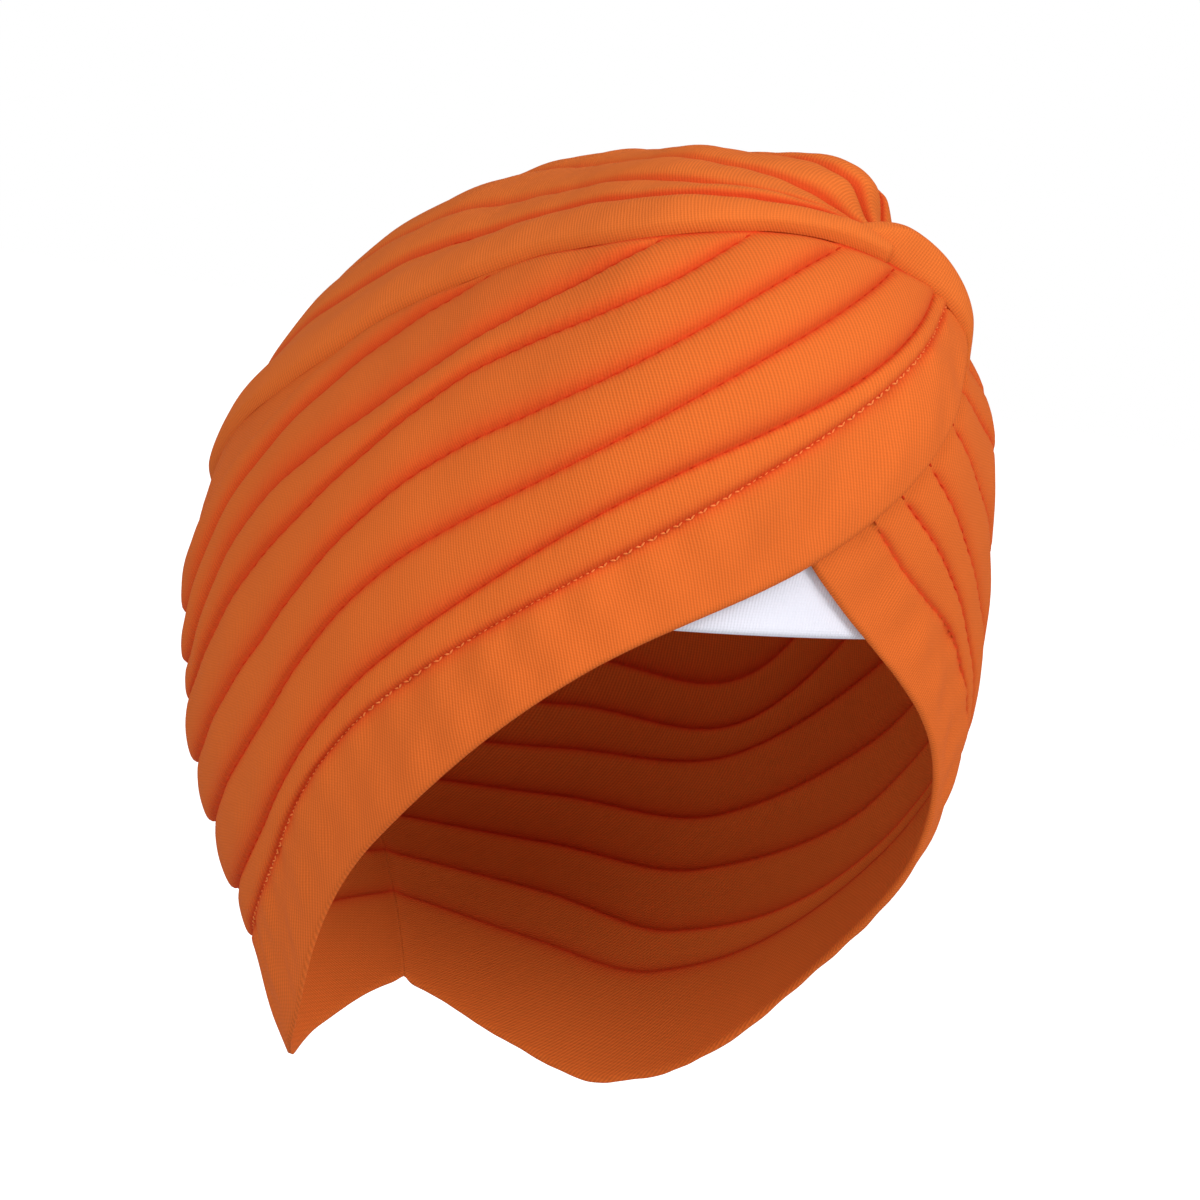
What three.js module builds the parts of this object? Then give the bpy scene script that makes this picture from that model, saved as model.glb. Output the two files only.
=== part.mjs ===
// Pleated jersey turban cap in its worn shape.
// Millimetres, +Z up, the brow faces -Y and the wearer's right is -X.
// Places on the cap are directions from the middle of the head: azimuth runs from the brow (0)
// round the wearer's right side to the back seam (180), elevation is up from the brow's level.
import * as THREE from 'three';

// Cloth
const WALL = 1.6; // jersey with its seam allowance
const PLEAT_SWELL = 1.9; // crest of a pleat above its stitched grooves
const HEM_SWELL = 0.5; // the turned hem is a little thicker than one layer
const FULL_PLEAT = 8; // degrees of elevation that a pleat needs for its full swell
const LAYER_GAP = 0.9; // air between two cloths that cross

// Head that the cap was stretched over, measured out from its middle
const HEAD_SECTIONS = [
  { elevation: -90, front: 170, side: 174, back: 176 },
  { elevation: -60, front: 105, side: 114, back: 116 },
  { elevation: -30, front: 96, side: 90, back: 108 },
  { elevation: 0, front: 89, side: 81, back: 105 },
  { elevation: 30, front: 102, side: 76, back: 100 },
  { elevation: 60, front: 102, side: 82, back: 89 },
  { elevation: 90, front: 90, side: 90, back: 90 },
];
// Power of the superellipse between front, side and back: rounder toward the top
const HEAD_ROUNDNESS = { sides: 2.15, top: 2, from: 55, to: 85 };

// Folds of one side panel: elevation of each fold at stations 30 degrees apart,
// from the knot, past the brow, the temple and the ear, to the seam at the back.
const FOLD_STATIONS = ['knot', 'brow', 'eye', 'temple', 'ear', 'mastoid', 'rear', 'seam'];
const FIRST_STATION = -30;
const STATION_STEP = 30;
const FOLDS = {
  hem_edge: { knot: 38, brow: 9.5, eye: -11, temple: -39.5, ear: -61, mastoid: -67.5, rear: -66, seam: -62 },
  hem_seam: { knot: 46, brow: 26, eye: 3.5, temple: -21, ear: -47, mastoid: -56.5, rear: -55, seam: -52 },
  pleat_1: { knot: 49, brow: 29.5, eye: 11, temple: -15, ear: -42, mastoid: -51.5, rear: -48.5, seam: -46 },
  pleat_2: { knot: 55, brow: 39, eye: 20, temple: -1, ear: -30.5, mastoid: -43, rear: -41.5, seam: -40 },
  pleat_3: { knot: 57, brow: 47, eye: 29.5, temple: 12.5, ear: -18.5, mastoid: -35, rear: -34.5, seam: -34 },
  pleat_4: { knot: 59, brow: 55.5, eye: 39.5, temple: 27, ear: -4, mastoid: -26, rear: -28, seam: -28.5 },
  pleat_5: { knot: 62, brow: 62, eye: 47.5, temple: 34.5, ear: 9, mastoid: -21, rear: -22, seam: -23.5 },
  pleat_6: { knot: 66, brow: 68, eye: 57, temple: 50, ear: 30, mastoid: -13, rear: -15.5, seam: -19 },
  pleat_7: { knot: 70, brow: 74, eye: 66, temple: 61, ear: 46, mastoid: 0, rear: -8, seam: -15 },
  ridge: { knot: 43.5, brow: 48.5, eye: 48, temple: 48.5, ear: 38.5, mastoid: 14.5, rear: -2, seam: -12 },
};
const FOLD_NAMES = Object.keys(FOLDS);
const RIDGE = FOLD_NAMES.length - 1;
// Degrees that the folds of the left panel lie lower
const LEFT_DROP = { hem_edge: 4, hem_seam: 3.5, pleat_1: 6.3, pleat_2: 8.5, others: 8 };
const DROP_FADE = { from: 45, to: 120 }; // azimuths over which that drop dies out
const LEFT_SEAM_SAG = { sag: 4.5, from: 12, to: 32 }; // the left hem is narrower where the hems cross

// Side panels
const PANEL_STEP = 7.5; // degrees between the panel's columns
const SEAM_HALF_GAP = 0.1; // degrees that each panel keeps from the back seam
const TUCK = 2; // degrees that a panel runs on under the ridge
const TUCK_FROM = 8; // azimuth where the tuck starts, behind the knot
const TUCK_FULL = 40;
const TUCK_FADE = 150; // azimuth where it starts to run out toward the back seam
const CLAMP_STEP = 0.12; // degrees kept between rows that run out under the ridge
const RIDGE_FADE = 2.5; // degrees below the ridge over which the pleats flatten
const FOLD_FRACTIONS = [0, 0.28, 0.72];
const CROSS_LIFT = WALL + LAYER_GAP; // the right panel rides over the left one at the brow
const CROSS_FULL = 30; // azimuth up to which it rides at full height
const CROSS_END = 48; // azimuth where it lies on the head again
const COVER_START = -12; // degrees before the crossing where the left pleats start to flatten
const COVER_FLAT = -6; // and where they are flat
const GATHER = { azimuth: -32, elevation: 43.5, rise: 4.5, spread: 8 }; // bunched end of the right panel
const LEFT_FULLNESS = { azimuth: -50, elevation: 34, rise: 5.8, spread: 13 }; // left of the knot
const FULLNESS_FADE = 8; // degrees below the ridge over which that fullness dies out

// Crown: cloth gathered behind the knot that runs back between the two ridges
const CROWN_TIP = { azimuth: -18, half: 6, elevation: 51.5 }; // gathers behind the knot
const CROWN_END = 178; // azimuth where the crown comes to its point at the back seam
const CROWN_STATIONS = 24;
const CROWN_CROWDING = 1.2; // its stations lie closer together behind the knot
const CROWN_BACK = 196; // its point at the back, going on over the top and a little past the ridges
const CROWN_POINT = { from: 150, to: 168 }; // azimuths over which it comes to lie on the panels
const CROWN_PACE = 1.35; // how much slower the middle line starts than the ridges
const CROWN_CENTRED = 0.35; // share of its length after which the middle line is over the middle
const CROWN_FOLD_SPOTS = [0, 0.11, 0.2, 0.33, 0.5, 0.67, 0.8, 0.89, 1]; // fold lines across it
const CROWN_FOLD_PARTS = [0, 0.3, 0.7];
const CROWN_SWELL = 2.2;
const FULL_FOLD = 0.07; // radians across that a fold needs for its full swell
const RIDGE_PLEAT_WIDTH = 0.075; // radians across that the ridge pleat keeps behind the knot
const RIDGE_PLEAT_SHARE = 0.5; // most of the crown's width that it takes there
const RIDGE_PLEAT_FADE = { from: 80, to: 130, kept: 0.5 }; // the swell sinks toward the back
const CROWN_MARGIN = 3.5; // degrees of its edges that lie over the side panels
const MARGIN_SHARE = 0.12; // most of its width that one edge may take where it is narrow
const PUFF = { azimuth: -20, elevation: 61, rise: 7, spread: 9 }; // fullness behind the knot
const NOTCH = { from: 54, to: 59 }; // elevations between which the fullness starts

// Band that comes out of the gathers, over the knot and down its left side
const BAND_PATH = [
  { azimuth: -7, elevation: 48.9, width: 6, seat: 9.1, edge: 8.8 },
  { azimuth: -13, elevation: 49.2, width: 8.5, seat: 9.4, edge: 7.7 },
  { azimuth: -19, elevation: 48.2, width: 10, seat: 9.6, edge: 6.7 },
  { azimuth: -25, elevation: 46.2, width: 10.5, seat: 9.8, edge: 8.4 },
  { azimuth: -30, elevation: 43.2, width: 10, seat: 9.8, edge: 9.4 },
  { azimuth: -34, elevation: 39.6, width: 8, seat: 8.2, edge: 6.8 },
  { azimuth: -37, elevation: 36, width: 6, seat: 6, edge: 5.4 },
];
const BAND_STEPS = 18;
const BAND_EDGE = 1.2; // thickness at its edges
const BAND_ARCH = 2.3; // how much thicker it is along its middle
const BAND_HANG = 0.6; // share of its width over which it comes down to the gathers
const BAND_ACROSS = 4; // facets across

// White cloth in the notch under the crossing hems
const INSERT = { from: -24, to: 30, low: -2.5, slope: -0.09, high: 26, thickness: 1.5, gap: 0.9 };
const INSERT_COLUMNS = 14;
const INSERT_ROWS = 5;

const ORANGE = { color: 0xe0701f, roughness: 0.85, metalness: 0 };
const WHITE = { color: 0xeeeef5, roughness: 0.85, metalness: 0 };

const clamp01 = (value) => Math.min(1, Math.max(0, value));
const smooth = (from, to, value) => {
  const t = clamp01((value - from) / (to - from));
  return t * t * (3 - 2 * t);
};

// Smooth curve through evenly spaced values, straight on past both ends
function curveThrough(values, place) {
  const last = values.length - 1;
  const at = (i) => {
    if (i < 0) return 2 * values[0] - values[1];
    if (i > last) return 2 * values[last] - values[last - 1];
    return values[i];
  };
  const t = Math.min(last, Math.max(0, place));
  const i = Math.min(last - 1, Math.floor(t));
  const f = t - i;
  const [a, b, c, d] = [at(i - 1), at(i), at(i + 1), at(i + 2)];
  const bend = (2 * a - 5 * b + 4 * c - d) * f * f + (3 * b - a - 3 * c + d) * f * f * f;
  return 0.5 * (2 * b + (c - a) * f + bend);
}

function direction(azimuth, elevation) {
  const a = THREE.MathUtils.degToRad(azimuth);
  const e = THREE.MathUtils.degToRad(elevation);
  return new THREE.Vector3(-Math.sin(a) * Math.cos(e), -Math.cos(a) * Math.cos(e), Math.sin(e));
}

const HEAD_COLUMNS = Object.fromEntries(
  ['front', 'side', 'back'].map((key) => [key, HEAD_SECTIONS.map((row) => row[key])]),
);

function headRadius(dir) {
  const level = Math.hypot(dir.x, dir.y);
  const elevation = THREE.MathUtils.radToDeg(Math.atan2(dir.z, level));
  const lowest = HEAD_SECTIONS[0].elevation;
  const place = (elevation - lowest) / (HEAD_SECTIONS[1].elevation - lowest);
  const along = curveThrough(dir.y < 0 ? HEAD_COLUMNS.front : HEAD_COLUMNS.back, place);
  const aside = curveThrough(HEAD_COLUMNS.side, place);
  const reach = Math.max(level, 1e-9);
  const towardTop = smooth(HEAD_ROUNDNESS.from, HEAD_ROUNDNESS.to, elevation);
  const power = THREE.MathUtils.lerp(HEAD_ROUNDNESS.sides, HEAD_ROUNDNESS.top, towardTop);
  const sum = (Math.abs(dir.y) / reach / along) ** power + (Math.abs(dir.x) / reach / aside) ** power;
  return sum ** (-1 / power);
}

// Point on the cap: a direction, and a height above the head
function onHead(dir, height) {
  return dir.clone().multiplyScalar(headRadius(dir) + height);
}

// Height of a rounded mound that dies out with the angle from its middle
function mound(dir, { azimuth, elevation, rise, spread }) {
  const away = THREE.MathUtils.radToDeg(dir.angleTo(direction(azimuth, elevation)));
  return rise * Math.exp(-((away / spread) ** 2));
}

const FOLD_ROWS = Object.values(FOLDS).map((fold) => FOLD_STATIONS.map((station) => fold[station]));

function foldElevation(fold, azimuth, left) {
  const elevation = curveThrough(FOLD_ROWS[fold], (azimuth - FIRST_STATION) / STATION_STEP);
  if (!left || fold === RIDGE) return elevation;
  const name = FOLD_NAMES[fold];
  const drop = (LEFT_DROP[name] ?? LEFT_DROP.others) * (1 - smooth(DROP_FADE.from, DROP_FADE.to, azimuth));
  const { sag, from, to } = LEFT_SEAM_SAG;
  return elevation - drop - (name === 'hem_seam' ? sag * (1 - smooth(from, to, azimuth)) : 0);
}

const ridgeElevation = (azimuth) => foldElevation(RIDGE, azimuth, false);

// Closed solid between an outer and an inner grid of points
function shellBetween(outer, inner) {
  const columns = outer.length;
  const rows = outer[0].length;
  const points = [...outer.flat(), ...inner.flat()];
  const out = (i, j) => i * rows + j;
  const inn = (i, j) => columns * rows + i * rows + j;
  const faces = [];
  const quad = (a, b, c, d) => faces.push(a, b, c, a, c, d);
  for (let i = 0; i < columns - 1; i += 1) {
    for (let j = 0; j < rows - 1; j += 1) {
      quad(out(i, j), out(i + 1, j), out(i + 1, j + 1), out(i, j + 1));
      quad(inn(i, j), inn(i, j + 1), inn(i + 1, j + 1), inn(i + 1, j));
    }
    quad(out(i + 1, 0), out(i, 0), inn(i, 0), inn(i + 1, 0));
    quad(out(i, rows - 1), out(i + 1, rows - 1), inn(i + 1, rows - 1), inn(i, rows - 1));
  }
  for (let j = 0; j < rows - 1; j += 1) {
    quad(out(0, j), out(0, j + 1), inn(0, j + 1), inn(0, j));
    quad(out(columns - 1, j + 1), out(columns - 1, j), inn(columns - 1, j), inn(columns - 1, j + 1));
  }
  return facingOut(points, faces);
}

// Geometry whose faces all point outwards
function facingOut(points, faces) {
  let volume = 0;
  for (let k = 0; k < faces.length; k += 3) {
    const [a, b, c] = [points[faces[k]], points[faces[k + 1]], points[faces[k + 2]]];
    volume += a.dot(b.clone().cross(c));
  }
  if (volume < 0) {
    for (let k = 0; k < faces.length; k += 3) {
      [faces[k + 1], faces[k + 2]] = [faces[k + 2], faces[k + 1]];
    }
  }
  const geometry = new THREE.BufferGeometry();
  const places = points.flatMap((point) => point.toArray());
  geometry.setAttribute('position', new THREE.Float32BufferAttribute(places, 3));
  geometry.setIndex(faces);
  geometry.computeVertexNormals();
  return geometry;
}

function pieceOf(name, geometry, finish) {
  const mesh = new THREE.Mesh(geometry, new THREE.MeshStandardMaterial(finish));
  mesh.name = name;
  return mesh;
}

// Rounded section of one pleat or fold, 0 at its grooves and 1 at its crest
const pillow = (t) => 1 - Math.abs(2 * t - 1) ** 2.4;

// Height of the pleats above the panel's wall
function pleatSwell(azimuth, elevation, left) {
  let fold = 0;
  while (fold < RIDGE - 2 && elevation >= foldElevation(fold + 1, azimuth, left)) fold += 1;
  const low = foldElevation(fold, azimuth, left);
  const high = foldElevation(fold + 1, azimuth, left);
  const swell = fold === 0 ? HEM_SWELL : PLEAT_SWELL * Math.min(1, (high - low) / FULL_PLEAT);
  const flatten = clamp01((ridgeElevation(azimuth) - elevation) / RIDGE_FADE);
  return swell * pillow(clamp01((elevation - low) / (high - low))) * flatten;
}

// How far the right panel is lifted by the left one under it
const crossLift = (azimuth) => CROSS_LIFT * (1 - smooth(CROSS_FULL, CROSS_END, azimuth));

// Share of its pleats that the left panel keeps near the right panel's hem, none under it
function leftUncovered(azimuth, elevation) {
  if (-azimuth < FIRST_STATION) return 1;
  const covered = elevation - foldElevation(0, -azimuth, false);
  return 1 - smooth(COVER_START, COVER_FLAT, covered);
}

// Extra height of the left panel, none at its ridge
function leftFullness(dir, azimuth, elevation) {
  return mound(dir, LEFT_FULLNESS) * clamp01((ridgeElevation(azimuth) - elevation) / FULLNESS_FADE);
}

// Elevations of the panel's rows at one column, grooves and crests in turn
function panelRows(azimuth, left) {
  const rows = [];
  for (let fold = 0; fold < RIDGE; fold += 1) {
    const low = foldElevation(fold, azimuth, left);
    const high = foldElevation(fold + 1, azimuth, left);
    const top = fold === RIDGE - 1 ? Math.max(high, low) : high;
    FOLD_FRACTIONS.forEach((t) => rows.push(low + (top - low) * t));
  }
  const ridge = ridgeElevation(azimuth);
  const held = rows.map((elevation, k) => Math.min(elevation, ridge - (rows.length - k) * CLAMP_STEP));
  const tuck = TUCK * smooth(TUCK_FROM, TUCK_FULL, azimuth) * (1 - smooth(TUCK_FADE, CROWN_END, azimuth));
  return [...held, ridge, ridge + CLAMP_STEP + tuck];
}

function sidePanel(left) {
  const lastColumn = 180 - SEAM_HALF_GAP;
  const columns = Math.round((180 - FIRST_STATION) / PANEL_STEP);
  const outer = [];
  const inner = [];
  for (let i = 0; i <= columns; i += 1) {
    const azimuth = Math.min(lastColumn, FIRST_STATION + i * PANEL_STEP);
    const lift = left ? 0 : crossLift(azimuth);
    const rows = panelRows(azimuth, left);
    const across = rows.map((elevation) => direction(left ? -azimuth : azimuth, elevation));
    outer.push(across.map((dir, j) => {
      const kept = left ? leftUncovered(azimuth, rows[j]) : 1;
      const bunched = left ? kept * leftFullness(dir, azimuth, rows[j]) : mound(dir, GATHER);
      return onHead(dir, lift + WALL + bunched + kept * pleatSwell(azimuth, rows[j], left));
    }));
    inner.push(across.map((dir) => onHead(dir, lift)));
  }
  return shellBetween(outer, inner);
}

// Fullness of the crown behind the knot
function puffHeight(dir) {
  const elevation = THREE.MathUtils.radToDeg(Math.asin(dir.z));
  const start = dir.y < 0 ? smooth(NOTCH.from, NOTCH.to, elevation) : 1;
  return start * mound(dir, PUFF);
}

// Ridge azimuths of a crown station: the right one starts past the brow, behind the knot
const rightAzimuth = (along) => THREE.MathUtils.lerp(CROWN_TIP.azimuth + CROWN_TIP.half, CROWN_END, along);
const leftAzimuth = (along) => THREE.MathUtils.lerp(CROWN_TIP.half - CROWN_TIP.azimuth, CROWN_END, along);

// Direction on the crown: along it from its tip to the back, and across from the right ridge to the left
function crownDirection(along, across) {
  const [rightSide, leftSide] = [rightAzimuth(along), leftAzimuth(along)];
  const over = THREE.MathUtils.lerp(CROWN_TIP.elevation, CROWN_BACK, along ** CROWN_PACE);
  const aside = CROWN_TIP.azimuth * (1 - smooth(0, CROWN_CENTRED, along));
  const right = direction(rightSide, ridgeElevation(rightSide));
  const middle = direction(aside, over);
  const left = direction(-leftSide, ridgeElevation(leftSide));
  right.multiplyScalar((1 - across) * (1 - 2 * across));
  middle.multiplyScalar(4 * across * (1 - across));
  left.multiplyScalar(across * (2 * across - 1));
  return right.add(middle).add(left).normalize();
}

// Height at which the crown's edges clear the side panels under them
function crownLift(azimuth, across, margin) {
  const overRight = crossLift(azimuth) + CROSS_LIFT;
  const right = overRight * (1 - smooth(margin, 3 * margin, across));
  const left = CROSS_LIFT * (1 - smooth(margin, 3 * margin, 1 - across));
  const point = CROSS_LIFT * smooth(CROWN_POINT.from, CROWN_POINT.to, azimuth);
  return Math.max(right, left, point);
}

// Share of their swell that the crown's folds keep toward the back
const backSwell = (azimuth) => {
  const { from, to, kept } = RIDGE_PLEAT_FADE;
  return 1 - (1 - kept) * smooth(from, to, azimuth);
};

// Rows of the crown where it is this wide, in radians: their place across it and their swell
function crownRows(width) {
  const spots = CROWN_FOLD_SPOTS;
  const first = Math.max(spots[1], Math.min(RIDGE_PLEAT_SHARE, RIDGE_PLEAT_WIDTH / width));
  const opened = spots.map((spot) => first + ((1 - first) * (spot - spots[1])) / (1 - spots[1]));
  opened[0] = 0;
  const rows = [];
  for (let k = 0; k < spots.length - 1; k += 1) {
    const part = opened[k + 1] - opened[k];
    const swell = CROWN_SWELL * Math.min(1, (part * width) / FULL_FOLD);
    CROWN_FOLD_PARTS.forEach((t) => rows.push({ across: opened[k] + part * t, swell: swell * pillow(t) }));
  }
  rows.push({ across: 1, swell: 0 });
  return rows;
}

function crownPanel() {
  const outer = [];
  const inner = [];
  for (let i = 0; i <= CROWN_STATIONS; i += 1) {
    const along = (i / CROWN_STATIONS) ** CROWN_CROWDING;
    const azimuth = rightAzimuth(along);
    const width = crownDirection(along, 0).angleTo(crownDirection(along, 0.5)) * 2;
    const margin = Math.min(MARGIN_SHARE, THREE.MathUtils.degToRad(CROWN_MARGIN) / width);
    const rows = crownRows(width);
    const dirs = rows.map((row) => crownDirection(along, row.across));
    const kept = backSwell(azimuth);
    const under = rows.map((row, j) => crownLift(azimuth, row.across, margin) + puffHeight(dirs[j]));
    outer.push(dirs.map((dir, j) => onHead(dir, under[j] + WALL + kept * rows[j].swell)));
    inner.push(dirs.map((dir, j) => onHead(dir, under[j])));
  }
  return shellBetween(outer, inner);
}

// Strap swept along the band's path, flat below and arched above
function knotBand() {
  const column = (key) => BAND_PATH.map((row) => row[key]);
  const last = BAND_PATH.length - 1;
  const at = (key, place) => curveThrough(column(key), place);
  const middle = (place) => direction(at('azimuth', place), at('elevation', place));
  const outer = [];
  const inner = [];
  for (let i = 0; i <= BAND_STEPS; i += 1) {
    const place = (last * i) / BAND_STEPS;
    const here = middle(place);
    const ahead = middle(Math.min(last, place + 0.02)).sub(middle(Math.max(0, place - 0.02)));
    const aside = new THREE.Vector3().crossVectors(here, ahead).normalize();
    const halfWidth = at('width', place) / 2 / headRadius(here);
    const [seat, edge] = [at('seat', place), at('edge', place)];
    const top = [];
    const bottom = [];
    for (let j = 0; j <= BAND_ACROSS; j += 1) {
      const t = j / BAND_ACROSS;
      const dir = here.clone().addScaledVector(aside, halfWidth * (2 * t - 1)).normalize();
      const under = THREE.MathUtils.lerp(edge, seat, smooth(0, BAND_HANG, t));
      top.push(onHead(dir, under + BAND_EDGE + BAND_ARCH * pillow(t)));
      bottom.push(onHead(dir, under));
    }
    outer.push(top);
    inner.push(bottom);
  }
  return shellBetween(outer, inner);
}

function foreheadInsert() {
  const outer = [];
  const inner = [];
  for (let i = 0; i <= INSERT_COLUMNS; i += 1) {
    const t = i / INSERT_COLUMNS;
    const azimuth = THREE.MathUtils.lerp(INSERT.from, INSERT.to, t);
    const low = INSERT.low + INSERT.slope * azimuth;
    const across = [];
    for (let j = 0; j <= INSERT_ROWS; j += 1) {
      across.push(direction(azimuth, THREE.MathUtils.lerp(low, INSERT.high, j / INSERT_ROWS)));
    }
    outer.push(across.map((dir) => onHead(dir, -INSERT.gap)));
    inner.push(across.map((dir) => onHead(dir, -INSERT.gap - INSERT.thickness)));
  }
  return shellBetween(outer, inner);
}

const turban = new THREE.Group();
turban.add(
  pieceOf('wrap_right', sidePanel(false), ORANGE),
  pieceOf('wrap_left', sidePanel(true), ORANGE),
  pieceOf('crown_panel', crownPanel(), ORANGE),
  pieceOf('knot_band', knotBand(), ORANGE),
  pieceOf('forehead_insert', foreheadInsert(), WHITE),
);

export default turban;
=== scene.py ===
"""Looks of a pleated jersey turban cap, in its worn shape.

Metres, +Z up, the brow faces -Y and the wearer's right is -X.
Places on the cap are directions from the middle of the head: azimuth runs from the brow (0) round
the wearer's right side to the back seam (180), elevation is up from the brow's level, in degrees.
"""
import math

import bpy
import numpy as np
from mathutils import Matrix, Vector


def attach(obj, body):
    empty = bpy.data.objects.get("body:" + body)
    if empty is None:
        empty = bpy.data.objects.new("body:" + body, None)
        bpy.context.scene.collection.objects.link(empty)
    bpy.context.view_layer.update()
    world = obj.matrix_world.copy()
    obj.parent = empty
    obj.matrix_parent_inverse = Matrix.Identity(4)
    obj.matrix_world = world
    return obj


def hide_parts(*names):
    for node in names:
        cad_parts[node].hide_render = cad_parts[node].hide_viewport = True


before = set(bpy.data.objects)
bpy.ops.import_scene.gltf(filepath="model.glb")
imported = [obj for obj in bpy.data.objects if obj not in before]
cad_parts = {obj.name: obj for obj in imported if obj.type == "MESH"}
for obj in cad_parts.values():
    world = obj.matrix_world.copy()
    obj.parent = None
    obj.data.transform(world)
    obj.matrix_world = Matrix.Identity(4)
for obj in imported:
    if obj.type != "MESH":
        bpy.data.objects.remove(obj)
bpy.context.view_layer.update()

MM = 0.001

# Cloth: its wall, the crests and grooves of its pleats, its rims, and the shade painted into the colour
# beside the grooves
WALL = 1.6 * MM
PLEAT_SWELL = 2.1 * MM
HEM_SWELL = 0.5 * MM
FULL_PLEAT = 8.0  # degrees that a pleat needs for its full swell
LAYER_GAP = 0.35 * MM
LINED_SHARE = 0.55  # of the swell, on the inner side
PLEAT_LEAN = 0.72
PLEAT_FLATNESS, PLEAT_FULLNESS = 2.3, 0.8
RIM = {"panel": 0.9 * MM, "crown": 1.3 * MM, "strap": 1.0 * MM, "insert": 0.9 * MM}
RIM_LEAST = 0.12  # of the wall, left at a rim
GROOVE_DEPTH = 0.45 * MM
GROOVE_WIDTH = 1.0 * MM
# painted shade beside each groove: its reach above and below as shares of the pleat, its strength and its
# fall-off
SHADE = {"above": 0.18, "below": 0.07, "share": 0.65, "fall": 1.5}
# width of the painted dark line of shade in each groove
SHADE_LINE_WIDTH = 0.6 * MM
# painted shadow along the ridge under the crown's edge: its width in degrees and the azimuths over which it
# fades out
RIDGE_SHADOW = {"width": 0.6, "fade": 45.0, "end": 70.0}

# Head that the cap is stretched over, measured out from its middle
HEAD_ELEVATIONS = (-90, -60, -30, 0, 30, 60, 90)
HEAD_MM = {
    "front": (170, 105, 96, 89, 102, 102, 91),
    "side": (174, 114, 90, 81, 76, 82, 91),
    "back": (176, 116, 108, 105, 100, 89, 91),
}
HEAD_ROUNDNESS = {"sides": 2.15, "top": 2.0, "from": 55.0, "to": 85.0}

# Elevation of each fold of a side panel, from the knot past brow, temple and ear to the back seam
FOLD_STATIONS = (-30, 0, 30, 60, 90, 120, 150, 180)
FOLD_STEP = FOLD_STATIONS[1] - FOLD_STATIONS[0]
BACK_SEAM = FOLD_STATIONS[-1]
FOLDS = {
    "hem_edge": (38, 9.5, -11, -39.5, -61, -67.5, -66, -62),
    "hem_seam": (46, 26, 3.5, -21, -47, -56.5, -55, -52),
    "pleat_1": (49, 29.5, 11, -15, -42, -51.5, -48.5, -46),
    "pleat_2": (55, 39, 20, -1, -30.5, -43, -41.5, -40),
    "pleat_3": (57, 47, 29.5, 12.5, -18.5, -35, -34.5, -34),
    "pleat_4": (59, 55.5, 39.5, 27, -4, -26, -28, -28.5),
    "pleat_5": (62, 62, 47.5, 34.5, 9, -21, -22, -23.5),
    "pleat_6": (66, 68, 57, 50, 30, -13, -15.5, -19),
    "pleat_7": (70, 74, 66, 61, 46, 0, -8, -15),
}
RIDGE = (43.5, 48.5, 48, 48.5, 38.5, 14.5, -2, -12)

# Degrees by which the folds of the left panel lie lower at the front
LEFT_DROP = {"hem_edge": 4.0, "hem_seam": 3.5, "pleat_1": 6.3, "pleat_2": 8.5}
OTHER_DROP = 8.0
SEAM_SAG = {"sag": 4.5, "from": 12.0, "to": 32.0}
DROP_FADE = (45.0, 120.0)

# Side panels: rows and columns, seam at the back, ribs, unevenness, and how they tuck under the crown
PANEL_COLUMNS = 350
HEM_ROWS, PLEAT_ROWS, TOP_ROWS = 16, 14, 8
ROW_STEP = 0.008  # degrees that rows keep apart where they run together under the ridge
SEAM_OVERLAP = 0.03  # degrees past the back seam
SEAM_DIP = {"depth": 1.0 * MM, "width": 1.6}
SEAM_FLAT = 2.5  # degrees over which the pleats flatten toward the seam
CLOTH_RADIUS = 95 * MM  # turns angles into lengths on the cloth
RIB_MIDDLE = 28.0  # azimuth where the ribs run up the head, apart from their lean
PUCKER = {"rise": 0.16 * MM, "pitch": 3.7 * MM, "reach": 2.2 * MM}
HEM_WAVES = (
    {"size": 0.64 * MM, "length": 25 * MM, "turn": 0.5, "start": 0.4},
    {"size": 0.26 * MM, "length": 14 * MM, "turn": -0.7, "start": 2.1},
    {"size": 0.12 * MM, "length": 9 * MM, "turn": 0.2, "start": 4.0},
)
HEM_CALM = {"edge": 0.3, "reach": 0.4}
PLEAT_WAVES = (
    {"size": 0.12 * MM, "length": 37 * MM, "turn": 0.25, "start": 1.2},
    {"size": 0.10 * MM, "length": 23 * MM, "turn": -0.5, "start": 3.3},
    {"size": 0.07 * MM, "length": 11 * MM, "turn": 0.9, "start": 0.6},
)
TUCK = {"run": 2.0, "least": 0.1, "from": 8.0, "full": 40.0, "fade": 150.0}
KNOT_TUCK = {"run": 5.0, "from": -9.0, "to": 0.0}
RIDGE_FADE = 2.0
RIPPLE_FADE = 3.0

# Where the right panel crosses over the left one, and the fullness on both sides of the knot
CROSS_LIFT = WALL + LAYER_GAP
CROSS_FULL, CROSS_END = 30.0, 48.0
COVER_START, COVER_FLAT = -4.0, -0.8  # degrees above the right hem's edge
GATHER = {"azimuth": -32, "elevation": 43.5, "rise": 4.5 * MM, "spread": 8}
LEFT_FULLNESS = {"azimuth": -50, "elevation": 34, "rise": 5.8 * MM, "spread": 13}
FULLNESS_FADE = 8.0
# share of the swell and of the painted shade that the left panel keeps near the front
LEFT_CALM = {"share": 0.4, "from": 45.0, "to": 95.0}

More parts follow.
